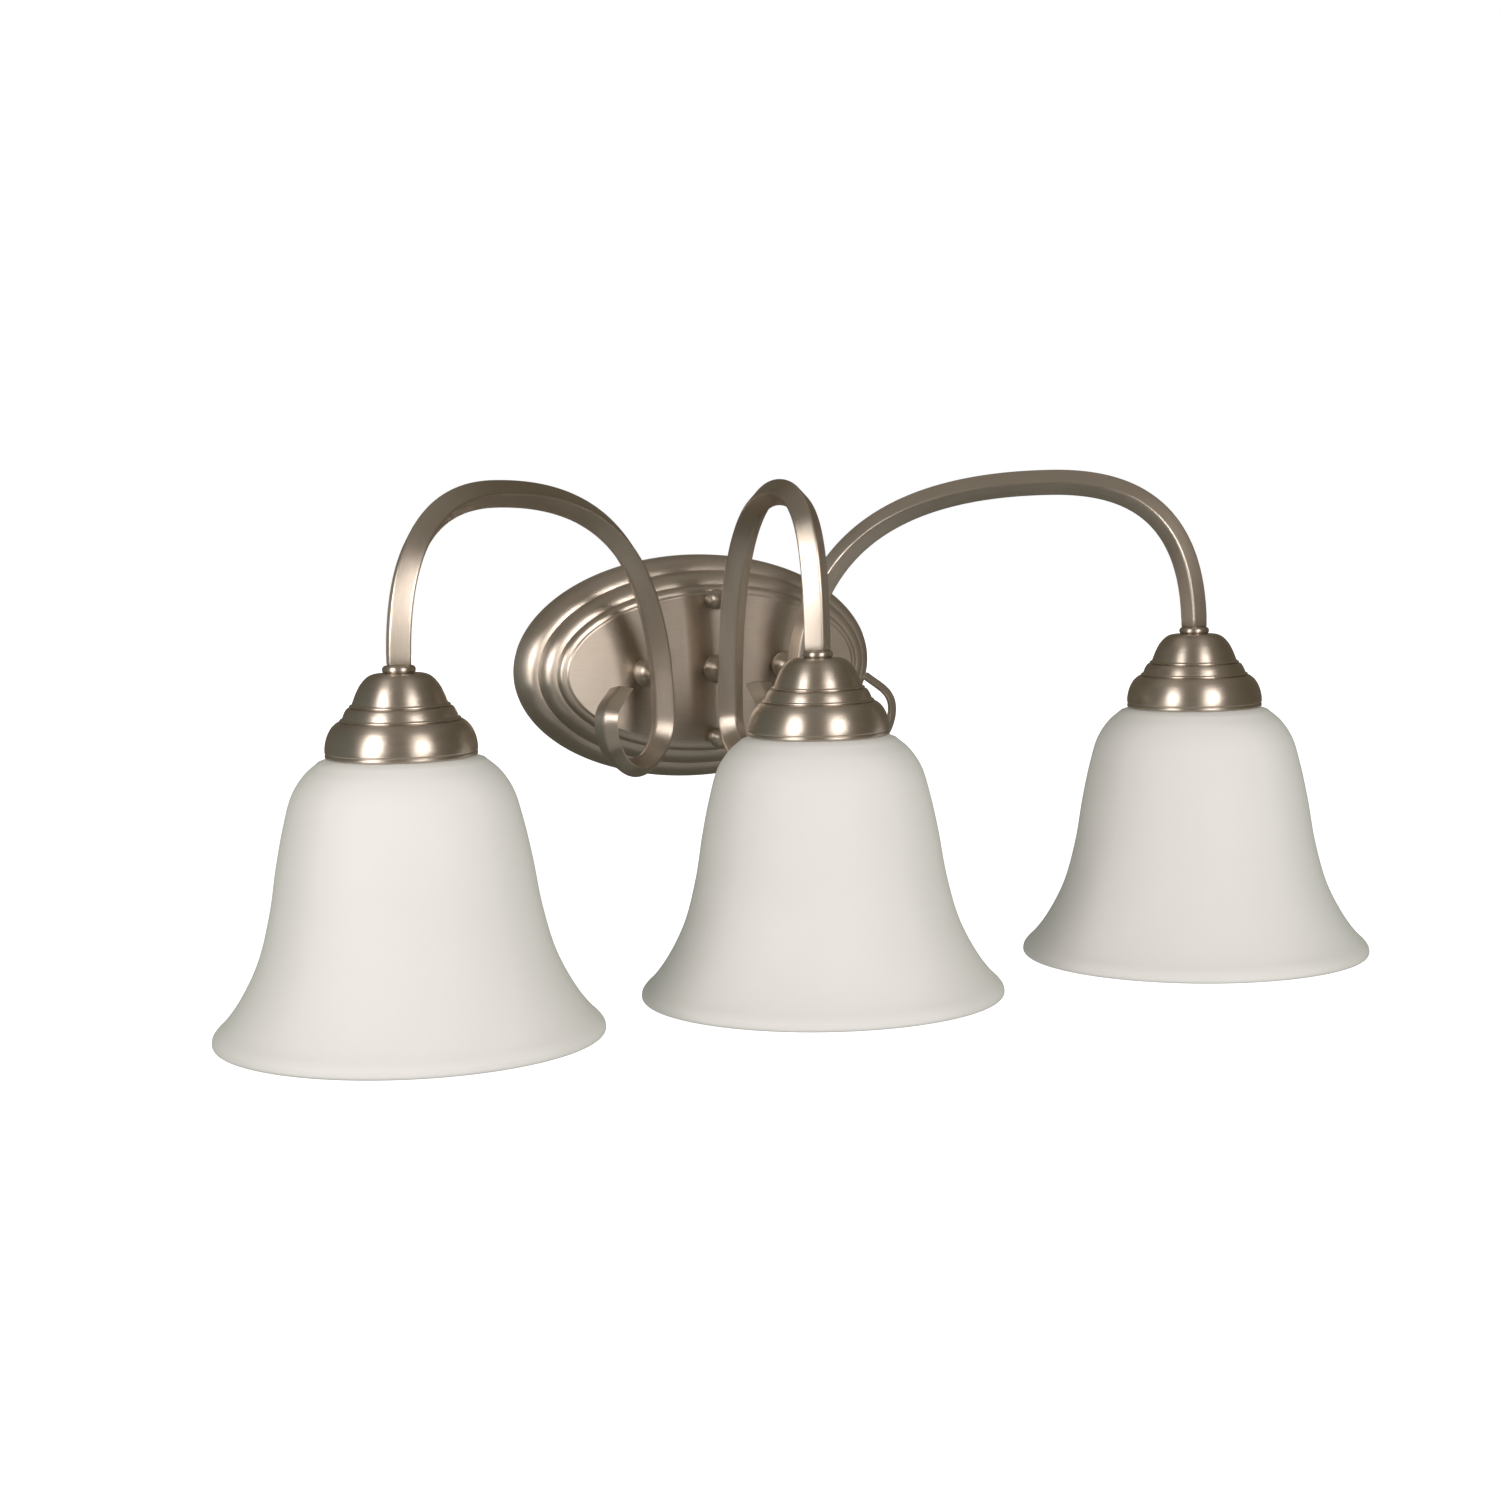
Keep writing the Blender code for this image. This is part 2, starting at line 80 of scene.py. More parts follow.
LAMPS, ROOTS = {}, {}
for side in SIDES:
    at = middle(f"fitter_{side}")
    LAMPS[side] = Vector((at.x, at.y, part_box(f"fitter_{side}")[1].z / MM - FITTER_TOP))
    ROOTS[side] = Vector((middle(f"spacer_{side}").x, -ARM_STANDOFF, 0.0))
STUDS = {end: middle(f"plate_stud_{end}").z for end in ("upper", "lower")}
BOX_SCREWS = {end: middle(f"box_screw_{end}").z for end in ("upper", "lower")}
GROUND = middle("ground_screw")
FORWARD = Matrix.Rotation(math.radians(90), 4, "X")     # turns +Z to -Y, away from the wall


# ---------------------------------------------------------------- finishes

def new_finish(name, colour, roughness, metallic=0.0):
    look = bpy.data.materials.new(name)
    look.use_nodes = True
    shader = look.node_tree.nodes["Principled BSDF"]
    shader.inputs["Base Color"].default_value = (*colour, 1.0)
    shader.inputs["Roughness"].default_value = roughness
    shader.inputs["Metallic"].default_value = metallic
    return look, look.node_tree, shader


def noise(tree, scale, detail=2.0, source="Object", roughness=0.5):
    """A noise value between 0 and 1, in object space or along a mesh attribute."""
    if source == "Object":
        start = tree.nodes.new("ShaderNodeTexCoord").outputs["Object"]
    else:
        reader = tree.nodes.new("ShaderNodeAttribute")
        reader.attribute_name = source
        start = reader.outputs["Vector"]
    made = tree.nodes.new("ShaderNodeTexNoise")
    made.inputs["Scale"].default_value = scale
    made.inputs["Detail"].default_value = detail
    made.inputs["Roughness"].default_value = roughness
    tree.links.new(start, made.inputs["Vector"])
    return made.outputs["Fac"]


def spread(tree, value, low, high, to_low, to_high):
    """value from low..high, clamped, onto to_low..to_high."""
    made = tree.nodes.new("ShaderNodeMapRange")
    tree.links.new(value, made.inputs["Value"])
    for key, number in zip(("From Min", "From Max", "To Min", "To Max"), (low, high, to_low, to_high)):
        made.inputs[key].default_value = number
    return made.outputs["Result"]


def blend(tree, factor, first, second):
    """first to second as the factor goes from 0 to 1; each is a colour or another node's output."""
    made = tree.nodes.new("ShaderNodeMix")
    made.data_type = "RGBA"
    tree.links.new(factor, made.inputs[0])
    for number, colour in ((6, first), (7, second)):
        if isinstance(colour, tuple):
            made.inputs[number].default_value = (*colour, 1.0)
        else:
            tree.links.new(colour, made.inputs[number])
    return made.outputs[2]


def bumps(tree, shader, value, strength, distance):
    made = tree.nodes.new("ShaderNodeBump")
    made.inputs["Strength"].default_value = strength
    made.inputs["Distance"].default_value = distance
    tree.links.new(value, made.inputs["Height"])
    tree.links.new(made.outputs["Normal"], shader.inputs["Normal"])


def nickel_finish():
    """Satin brushed nickel: fine brushing along each piece, a faint cloudy tone under the lacquer."""
    look, tree, shader = new_finish("brushed_nickel_satin", (0.46, 0.41, 0.35), 0.3, 1.0)
    brushing = noise(tree, 2.4, 3.0, "grain", roughness=0.6)
    cloud = noise(tree, 45.0, 3.0)
    tone = blend(tree, spread(tree, cloud, 0.3, 0.7, 0, 1), (0.560, 0.495, 0.425), (0.590, 0.525, 0.455))
    streak = spread(tree, brushing, 0.25, 0.75, 0, 1)
    dark = blend(tree, streak, (0.88, 0.88, 0.88), (1.0, 1.0, 1.0))
    mixed = tree.nodes.new("ShaderNodeMix")
    mixed.data_type = "RGBA"
    mixed.blend_type = "MULTIPLY"
    mixed.inputs[0].default_value = 1.0
    tree.links.new(tone, mixed.inputs[6])
    tree.links.new(dark, mixed.inputs[7])
    tree.links.new(mixed.outputs[2], shader.inputs["Base Color"])
    tree.links.new(spread(tree, brushing, 0.2, 0.8, 0.30, 0.39), shader.inputs["Roughness"])
    bumps(tree, shader, brushing, 0.4, 0.00010)
    shader.inputs["Anisotropic"].default_value = 0.75
    reader = tree.nodes.new("ShaderNodeAttribute")
    reader.attribute_name = "across"
    turned = tree.nodes.new("ShaderNodeVectorTransform")
    turned.vector_type = "VECTOR"
    turned.convert_from, turned.convert_to = "OBJECT", "WORLD"
    tree.links.new(reader.outputs["Vector"], turned.inputs["Vector"])
    tree.links.new(turned.outputs["Vector"], shader.inputs["Tangent"])
    return look


def zinc_finish():
    """Zinc-plated steel with the faint yellow and blue of its passivated skin."""
    look, tree, shader = new_finish("zinc_plated_steel", (0.6, 0.6, 0.58), 0.4, 1.0)
    cloud = noise(tree, 140.0, 4.0)
    tone = blend(tree, spread(tree, cloud, 0.35, 0.65, 0, 1), (0.62, 0.60, 0.52), (0.56, 0.58, 0.60))
    tree.links.new(tone, shader.inputs["Base Color"])
    grit = noise(tree, 900.0, 3.0)
    tree.links.new(spread(tree, grit, 0.3, 0.7, 0.34, 0.5), shader.inputs["Roughness"])
    bumps(tree, shader, grit, 0.15, 0.00005)
    return look


def green_finish():
    """Green ground screw, with bare metal where the driver and the strap have rubbed it."""
    look, tree, shader = new_finish("green_passivated_screw", (0.04, 0.30, 0.11), 0.42, 0.6)
    wear = noise(tree, 700.0, 4.0)
    tone = blend(tree, spread(tree, wear, 0.60, 0.72, 0, 1), (0.03, 0.26, 0.09), (0.42, 0.46, 0.42))
    tree.links.new(tone, shader.inputs["Base Color"])
    bumps(tree, shader, wear, 0.1, 0.00005)
    return look


def porcelain_finish():
    look, tree, shader = new_finish("glazed_porcelain", (0.86, 0.85, 0.81), 0.16)
    cloud = noise(tree, 90.0, 3.0)
    tone = blend(tree, spread(tree, cloud, 0.3, 0.7, 0, 1), (0.84, 0.82, 0.77), (0.88, 0.87, 0.84))
    tree.links.new(tone, shader.inputs["Base Color"])
    shader.inputs["Coat Weight"].default_value = 0.6
    shader.inputs["Coat Roughness"].default_value = 0.08
    bumps(tree, shader, noise(tree, 260.0, 2.0), 0.12, 0.0001)
    return look


def aluminium_finish():
    look, tree, shader = new_finish("spun_aluminium", (0.75, 0.75, 0.74), 0.32, 1.0)
    lines = noise(tree, 1.0, 3.0, "grain")
    tree.links.new(spread(tree, lines, 0.25, 0.75, 0.26, 0.42), shader.inputs["Roughness"])
    tone = blend(tree, spread(tree, noise(tree, 120.0), 0.3, 0.7, 0, 1), (0.70, 0.70, 0.69),
                 (0.78, 0.78, 0.77))
    tree.links.new(tone, shader.inputs["Base Color"])
    bumps(tree, shader, lines, 0.12, 0.00004)
    return look


def opal_finish():
    """Acid-etched opal glass: milky, with a soft satin skin, and painted shade that greys its colour where it
    is seen edge on.
    """
    look, tree, shader = new_finish("satin_opal_glass", (0.88, 0.86, 0.84), 0.45)
    cloud = noise(tree, 16.0, 3.0)
    milk = blend(tree, spread(tree, cloud, 0.3, 0.7, 0, 1), (0.86, 0.830, 0.808), (0.89, 0.860, 0.838))
    # painted shade: the base colour blends to grey-green as the surface turns edge on to the view
    edge = tree.nodes.new("ShaderNodeLayerWeight")
    edge.inputs["Blend"].default_value = 0.5
    tone = blend(tree, spread(tree, edge.outputs["Facing"], 0.25, 1.0, 0, 1), milk, (0.635, 0.645, 0.585))
    tree.links.new(tone, shader.inputs["Base Color"])
    etch = noise(tree, 1600.0, 3.0)
    tree.links.new(spread(tree, etch, 0.3, 0.7, 0.50, 0.60), shader.inputs["Roughness"])
    shader.inputs["IOR"].default_value = 1.5
    shader.inputs["Specular IOR Level"].default_value = 0.2
    bumps(tree, shader, noise(tree, 60.0, 2.0), 0.06, 0.0002)
    return look


def bulb_finish():
    look, tree, shader = new_finish("frosted_bulb_glass", (0.93, 0.92, 0.90), 0.28)
    tone = blend(tree, spread(tree, noise(tree, 30.0), 0.3, 0.7, 0, 1), (0.91, 0.90, 0.87),
                 (0.95, 0.94, 0.92))
    tree.links.new(tone, shader.inputs["Base Color"])
    shader.inputs["Coat Weight"].default_value = 0.4
    shader.inputs["Coat Roughness"].default_value = 0.12
    return look


def insulation_finish(name, colour):
    look, tree, shader = new_finish(name, colour, 0.5)
    scuffs = noise(tree, 500.0, 3.0)
    tree.links.new(spread(tree, scuffs, 0.3, 0.7, 0.42, 0.6), shader.inputs["Roughness"])
    lighter = tuple(min(1.0, c * 1.25 + 0.01) for c in colour)
    tree.links.new(blend(tree, spread(tree, scuffs, 0.4, 0.8, 0, 1), colour, lighter),
                   shader.inputs["Base Color"])
    return look


def copper_finish():
    look, tree, shader = new_finish("bare_copper", (0.80, 0.42, 0.27), 0.3, 1.0)
    tone = blend(tree, spread(tree, noise(tree, 800.0, 3.0), 0.3, 0.7, 0, 1), (0.72, 0.36, 0.22),
                 (0.86, 0.48, 0.32))
    tree.links.new(tone, shader.inputs["Base Color"])
    return look


NICKEL = nickel_finish()
ZINC = zinc_finish()
GREEN = green_finish()
PORCELAIN = porcelain_finish()
ALUMINIUM = aluminium_finish()
OPAL = opal_finish()
FROSTED = bulb_finish()
BLACK = insulation_finish("black_insulation", (0.025, 0.025, 0.027))
WHITE = insulation_finish("white_insulation", (0.78, 0.78, 0.76))
COPPER = copper_finish()


# ---------------------------------------------------------------- lines

def flow(points, per=8):
    """A smooth line through a few points (centripetal Catmull-Rom)."""
    nodes = [Vector(p) for p in points]
    nodes = [2 * nodes[0] - nodes[1]] + nodes + [2 * nodes[-1] - nodes[-2]]
    line = []
    for p0, p1, p2, p3 in zip(nodes, nodes[1:], nodes[2:], nodes[3:]):
        t0 = 0.0
        t1 = t0 + math.sqrt((p1 - p0).length)
        t2 = t1 + math.sqrt((p2 - p1).length)
        t3 = t2 + math.sqrt((p3 - p2).length)
        for step in range(per):
            t = t1 + (t2 - t1) * step / per
            a1 = p0 * ((t1 - t) / (t1 - t0)) + p1 * ((t - t0) / (t1 - t0))
            a2 = p1 * ((t2 - t) / (t2 - t1)) + p2 * ((t - t1) / (t2 - t1))
            a3 = p2 * ((t3 - t) / (t3 - t2)) + p3 * ((t - t2) / (t3 - t2))
            b1 = a1 * ((t2 - t) / (t2 - t0)) + a2 * ((t - t0) / (t2 - t0))
            b2 = a2 * ((t3 - t) / (t3 - t1)) + a3 * ((t - t1) / (t3 - t1))
            line.append(b1 * ((t2 - t) / (t2 - t1)) + b2 * ((t - t1) / (t2 - t1)))
    return line + [nodes[-2]]


def arc(centre, radii, start, end, steps=10):
    """Points of an elliptical arc; angles in degrees from the first axis."""
    angles = [math.radians(start + (end - start) * i / steps) for i in range(steps + 1)]
    return [Vector((centre[0] + radii[0] * math.cos(a), centre[1] + radii[1] * math.sin(a)))
            for a in angles]


def rounded(points, reach, steps=4, closed=False):
    """The line with every corner eased over a length of reach on each side of it."""
    points = [Vector(p) for p in points]
    count = len(points)
    line = []
    for i, corner in enumerate(points):
        if not closed and i in (0, count - 1):
            line.append(corner)
            continue
        before, after = points[i - 1] - corner, points[(i + 1) % count] - corner
        cut = min(reach, before.length * 0.45, after.length * 0.45)
        start, end = corner + before.normalized() * cut, corner + after.normalized() * cut
        for step in range(steps + 1):
            t = step / steps
            line.append(start * (1 - t) ** 2 + corner * 2 * t * (1 - t) + end * t * t)
    return line


def offset(line, distance):
    """The line moved sideways by a distance: to the right of its direction for a positive one."""
    moved = []
    last = len(line) - 1
    for i, point in enumerate(line):
        along = (line[min(i + 1, last)] - line[max(i - 1, 0)]).normalized()
        moved.append(point + Vector((along.y, -along.x)) * distance)
    return moved


# ---------------------------------------------------------------- meshes

LONG_GRAIN = 0.03               # brushing marks: cells per millimetre along and across them
CROSS_GRAIN = 1.3


def piece(name, points, faces, looks, grain=None, crease=38, which=None, across=None):
    """A mesh object from points in millimetres. looks is one finish or several, which says where each goes.

    grain places the brushing marks, and across is the direction over the surface at right angles to them."""
    mesh = bpy.data.meshes.new(name)
    mesh.from_pydata([Vector(p) * MM for p in points], [], faces)
    if grain:
        layer = mesh.attributes.new("grain", "FLOAT_VECTOR", "POINT")
        layer.data.foreach_set("vector", [c for g in grain for c in g])
    if across:
        layer = mesh.attributes.new("across", "FLOAT_VECTOR", "POINT")
        layer.data.foreach_set("vector", [c for way in across for c in way])
    looks = looks if isinstance(looks, tuple) else (looks,)
    for look in looks:
        mesh.materials.append(look)
    if which:
        mesh.polygons.foreach_set("material_index", which)
    shape = bmesh.new()
    shape.from_mesh(mesh)
    bmesh.ops.recalc_face_normals(shape, faces=shape.faces)
    shape.to_mesh(mesh)
    shape.free()
    mesh.shade_smooth()
    mesh.set_sharp_from_angle(angle=math.radians(crease))
    made = bpy.data.objects.new(name, mesh)
    bpy.context.scene.collection.objects.link(made)
    return made


def lathe(name, profile, at, look, steps=96, turn=None, closed=True, shape=None, crease=38):
    """Turn a profile of (radius, height) points about an axis through at. shape bends the radius."""
    turn = turn or Matrix()
    points, grain, across, rows, run = [], [], [], [], 0.0
    last = len(profile) - 1
    for i, (radius, height) in enumerate(profile):
        rise = (Vector(profile[min(i + 1, last)]) - Vector(profile[max(i - 1, 0)])).normalized()
        if i:
            run += (Vector(profile[i]) - Vector(profile[i - 1])).length
        row = []
        for j in range(1 if radius < 1e-6 else steps):
            angle = 2 * math.pi * j / steps
            reach = shape(radius, height, angle) if shape else radius
            row.append(len(points))
            points.append(Vector(at) + turn @ Vector((reach * math.cos(angle), reach * math.sin(angle),
                                                      height)))
            grain.append((radius * math.cos(angle) * LONG_GRAIN, radius * math.sin(angle) * LONG_GRAIN,
                          run * CROSS_GRAIN))
            across.append(turn @ Vector((rise.x * math.cos(angle), rise.x * math.sin(angle), rise.y)))
        rows.append(row)
    faces = []
    pairs = list(zip(rows, rows[1:])) + ([(rows[-1], rows[0])] if closed else [])
    for near, far in pairs:
        for j in range(steps):
            k = (j + 1) % steps
            if len(near) == 1 and len(far) == 1:
                continue
            if len(near) == 1:
                faces.append((near[0], far[k], far[j]))
            elif len(far) == 1:
                faces.append((near[j], near[k], far[0]))
            else:
                faces.append((near[j], near[k], far[k], far[j]))
    return piece(name, points, faces, look, grain, crease, across=across)


def skin(name, rings, look, grains=None, crease=38, lengthwise=False):
    """Join rings of equal length and close both ends. The brushing runs round the rings, or lengthwise."""
    count = len(rings[0])
    points = [p for ring in rings for p in ring]
    faces = [tuple(range(count))[::-1], tuple(range(len(points) - count, len(points)))]
    for row in range(len(rings) - 1):
        for j in range(count):
            k = (j + 1) % count
            a, b = row * count, (row + 1) * count
            faces.append((a + j, a + k, b + k, b + j))
    across, last = [], len(rings) - 1
    for row, ring in enumerate(rings):
        for j in range(count):
            way = Vector(ring[(j + 1) % count]) - Vector(ring[j - 1]) if lengthwise else (
                Vector(rings[min(row + 1, last)][j]) - Vector(rings[max(row - 1, 0)][j]))
            across.append(way.normalized())
    return piece(name, points, faces, look, [g for ring in grains for g in ring] if grains else None,
                 crease, across=across)


def carve(target, *tools, crease=38):
    """Cut the tools out of the target for good."""
    for tool in tools:
        cutting = target.modifiers.new("cut", "BOOLEAN")
        cutting.operation = "DIFFERENCE"
        cutting.solver = "EXACT"
        cutting.object = tool
    bpy.context.view_layer.update()
    seen = target.evaluated_get(bpy.context.evaluated_depsgraph_get())
    result = bpy.data.meshes.new_from_object(seen)
    target.modifiers.clear()
    old, target.data = target.data, result
    bpy.data.meshes.remove(old)
    for tool in tools:
        bpy.data.meshes.remove(tool.data)
    for way in target.data.attributes["across"].data:
        if way.vector.length < 0.5:
            way.vector = (0.0, 0.0, 1.0)
    target.data.shade_smooth()
    target.data.set_sharp_from_angle(angle=math.radians(crease))
    return target


def drill(radius, low, high, at):
    """A closed cylinder along the way out from the wall, to cut a hole with."""
    line = [(0, high), (radius, high), (radius, low), (0, low)]
    return lathe("drill", line, at, NICKEL, 32, FORWARD, closed=False)


def stands_for(made, node):
    """The piece takes the place of a node: it rides on the node's body, and the node is hidden."""
    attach(made, BODY_OF[node])
    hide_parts(node)


def thread(low, high, pitch, depth, hand=1, round_form=False):
    """A radius change that cuts a helical thread between two heights, fading out at both ends."""
    def cut(radius, height, angle):
        if not low < height < high:
            return radius
        turns = (height / pitch + hand * angle / (2 * math.pi)) % 1.0
        wave = 0.5 - 0.5 * math.cos(2 * math.pi * turns) if round_form else abs(2 * turns - 1)
        fade = min(1.0, (height - low) / pitch, (high - height) / pitch)
        return radius - depth * wave * fade
    return cut


def rungs(radius, low, high, step):
    """Profile points down a cylinder, close enough together to carry a thread."""
    count = max(2, round(abs(high - low) / step))
    return [Vector((radius, low + (high - low) * i / count)) for i in range(count + 1)]


# ---------------------------------------------------------------- backplate

RIM_SHARE = 0.9995              # a flat panel's own edge, just inside the ring that it shares
PANEL_GRAIN = 7.0               # keeps the panel's brushing apart from the steps' brushing


def plate_line():
    """(inset, forward) from the wall edge over three rounded steps to the edge of the flat panel."""
    first = [Vector((0.0, 0.0)), Vector((0.0, 2.0))] + arc((8.0, 4.0), (8.0, 11.5), 180, 92, 16)
    second = arc((15.0, 16.3), (6.6, 7.0), 176, 92, 12)
    third = arc((18.0, 24.0), (2.6, 2.7), 174, 96, 8)
    lip = [Vector((18.3, 26.75)), Vector((18.9, 26.95)), Vector((19.2, 27.25)), Vector((19.5, 27.44)),
           Vector((19.9, PLATE_DEPTH))]
    return first + second + third + lip


def build_backplate():
    steps = 176
    outer = plate_line()
    inner = [Vector((PLATE_WALL, 0.0))]
    for point in offset(outer, PLATE_WALL)[1:-3]:
        if point.x >= inner[-1].x and point.y > inner[-1].y + 0.02:
            inner.append(point)
    inner.append(Vector((20.5, PLATE_DEPTH - PLATE_WALL)))
    rings, grains, run = [], [], 0.0
    route = inner[::-1] + outer
    for i, (inset, forward) in enumerate(route):
        if i:
            run += (route[i] - route[i - 1]).length
        ring, grain = [], []
        for j in range(steps):
            angle = 2 * math.pi * j / steps
            wide, high = PLATE_HALF_WIDTH - inset, PLATE_HALF_HEIGHT - inset
            ring.append(Vector((wide * math.cos(angle), -forward, high * math.sin(angle))))
            grain.append((wide * math.cos(angle) * LONG_GRAIN, high * math.sin(angle) * LONG_GRAIN,
                          run * CROSS_GRAIN))
        rings.append(ring)
        grains.append(grain)
    rims = []
    for level in (rings[0], rings[-1]):
        centre = Vector((0, level[0].y, 0))
        rims.append([centre + (p - centre) * RIM_SHARE for p in level])
    flats = [[(p.x * LONG_GRAIN, PANEL_GRAIN, p.z * CROSS_GRAIN) for p in rim] for rim in rims]
    rings = [rims[0], *rings, rims[1]]
    grains = [flats[0], *grains, flats[1]]
    plate = skin("backplate_shell", rings, NICKEL, grains, crease=30)
    holes = [drill(NIPPLE_HOLE, PLATE_DEPTH - 4, PLATE_DEPTH + 4, (ROOTS[side].x, 0, 0)) for side in SIDES]
    holes += [drill(2.3, PLATE_DEPTH - 4, PLATE_DEPTH + 4, (0, 0, height)) for height in STUDS.values()]
    carve(plate, *holes, crease=30)
    wide, high = PLATE_HALF_WIDTH - outer[-1].x, PLATE_HALF_HEIGHT - outer[-1].x
    marks, ways = (plate.data.attributes[kind].data for kind in ("grain", "across"))
    for vertex, mark, way in zip(plate.data.vertices, marks, ways):
        x, y, z = vertex.co / MM
        if y < 0.01 - PLATE_DEPTH and math.hypot(x / wide, z / high) < 0.9998:
            mark.vector = (x * LONG_GRAIN, PANEL_GRAIN, z * CROSS_GRAIN)
            way.vector = (0.0, 0.0, 1.0)
    stands_for(plate, "backplate")


# ---------------------------------------------------------------- arms

# The path of an arm in its own upright plane: (reach, height), direction in degrees and the two
# handle lengths of each Bezier point, from the scroll's end round to the foot.
FOOT_HEIGHT = 18.3
SCROLL = [
    ((32.6, -4.2), 320, 0, 8.5),
    ((46.4, -21.0), 270, 9.0, 12.0),
    ((22.5, -44.0), 180, 13.0, 13.0),
    ((-1.8, -20.6), 90, 12.5, None),
]
SIDE_ARCH = [81.0, ((127.0, 90.8), 0, 80.0, 37.6), ((196.8, FOOT_HEIGHT), 270, 58.7, 0)]
CENTRE_ARCH = [58.0, ((61.0, 88.8), 0, 44.5, 31.5), ((100.0, FOOT_HEIGHT), 270, 50.0, 0)]
ARM_DEEP, ARM_WIDE = 6.7, 7.3
TAIL_THICK, TAIL_WIDE = 2.3, 7.6
EDGE_REACH = 1.35               # how far each edge of the bar is eased


def heading(degrees):
    return Vector((math.cos(math.radians(degrees)), math.sin(math.radians(degrees))))


def arm_line(side, counts=(14, 20, 18, 60, 40)):
    arch = CENTRE_ARCH if side == "centre" else SIDE_ARCH
    knots = [list(k) for k in SCROLL] + [list(k) for k in arch[1:]]
    knots[len(SCROLL) - 1][3] = arch[0]
    if side == "centre":
        knots[-1][0] = (knots[-1][0][0], FOOT_HEIGHT + LAMPS[side].z)
    line = []
    for (a, turn_a, _, out_a), (b, turn_b, in_b, _), count in zip(knots, knots[1:], counts):
        first, last = Vector(a), Vector(b)
        pull_a, pull_b = first + heading(turn_a) * out_a, last - heading(turn_b) * in_b
        for step in range(count):
            t = step / count
            line.append(first * (1 - t) ** 3 + pull_a * 3 * t * (1 - t) ** 2
                        + pull_b * 3 * t * t * (1 - t) + last * t ** 3)
    return line + [Vector(knots[-1][0])]


def arm_frames(side):
    """World place, outward direction and distance run along an arm, and its sideways direction."""
    root, lamp = ROOTS[side], LAMPS[side]
    ahead = Vector((lamp.x - root.x, lamp.y - root.y, 0)).normalized()
    line = arm_line(side)
    frames, run = [], 0.0
    for i, point in enumerate(line):
        along = (line[min(i + 1, len(line) - 1)] - line[max(i - 1, 0)]).normalized()
        if i == len(line) - 1:
            along = heading(270)
        run += (point - line[i - 1]).length if i else 0.0
        out = Vector((along.y, -along.x))
        frames.append((root + ahead * point.x + Vector((0, 0, point.y)),
                       ahead * out.x + Vector((0, 0, out.y)), run))
    return frames, ahead.cross(Vector((0, 0, 1)))


def bar_section(deep, wide, shrink=0.0):
    corners = [Vector((deep - shrink, 0)), Vector((0, wide - shrink)), Vector((shrink - deep, 0)),
               Vector((0, shrink - wide))]
    return rounded(corners, EDGE_REACH, 5, closed=True)


def bar_sizes(run):
    """The bar is flat at the scroll's end and square by the time it passes the spacer."""
    share = min(max((run - 22.0) / 60.0, 0.0), 1.0)
    share = share * share * (3 - 2 * share)
    return TAIL_THICK + (ARM_DEEP - TAIL_THICK) * share, TAIL_WIDE + (ARM_WIDE - TAIL_WIDE) * share


def build_arm(side):
    frames, across = arm_frames(side)
    total = frames[-1][2]
    stations = [(place, out, run, 0.0) for place, out, run in frames]
    first, last = frames[0], frames[-1]
    start_way = (frames[1][0] - first[0]).normalized()
    end_way = (last[0] - frames[-2][0]).normalized()
    eases = ((0.0, 0.8), (0.25, 0.35), (0.8, 0.0))
    head = [(first[0] + start_way * d, first[1], first[2] + d, s) for d, s in eases]
    tail = [(last[0] - end_way * d, last[1], last[2] - d, s * 0.6) for d, s in eases][::-1]
    stations = head + [s for s in stations if 0.9 < s[2] < total - 0.9] + tail
    rings, grains = [], []
    for place, out, run, shrink in stations:
        deep, wide = bar_sizes(run)
        section = bar_section(deep, wide, shrink)
        rings.append([place + out * u + across * v for u, v in section])
        grains.append([(run * LONG_GRAIN, u * CROSS_GRAIN, v * CROSS_GRAIN) for u, v in section])
    stands_for(skin(f"arm_bar_{side}", rings, NICKEL, grains, 50, lengthwise=True), f"arm_{side}")


def build_spacer(side):
    """Ball and neck between the plate and an arm, notched to sit on the arm's rear edge."""
    ball_at = PLATE_DEPTH + 6.1
    neck_top = ARM_STANDOFF - 3.6
    ball = arc((0, ball_at), (7.4, 7.4), -52, 50, 30)
    line = [Vector((3.3, PLATE_DEPTH + 0.05)), Vector((4.7, PLATE_DEPTH + 0.05))] + ball
    line += [Vector((4.4, ball_at + 6.3)), Vector((4.3, ball_at + 7.4)), Vector((4.3, neck_top)),
             Vector((3.3, neck_top))]
    made = lathe(f"spacer_ball_{side}", line, (ROOTS[side].x, 0, 0), NICKEL, 56, FORWARD)
    frames, across = arm_frames(side)
    near = [f for f in frames if f[2] > 82 and f[0].z < 40][:40]
    rings = [[place + out * u + across * v for u, v in bar_section(ARM_DEEP + 0.05, ARM_WIDE + 0.05)]
             for place, out, _ in near]
    carve(made, skin("seat", rings, NICKEL), crease=45)
    stands_for(made, f"spacer_{side}")


# ---------------------------------------------------------------- lamps

def build_collar(side):
    at = LAMPS[side]
    low, high = FITTER_TOP, FOOT_HEIGHT
    line = [(NIPPLE_HOLE, low), (6.3, low)]
    line += [tuple(p) for p in arc((6.0, (low + high) / 2), (1.3, 1.62), -72, 72, 14)]
    line += [(6.3, high), (NIPPLE_HOLE, high)]
    stands_for(lathe(f"collar_{side}", line, at, NICKEL, 64), f"foot_collar_{side}")


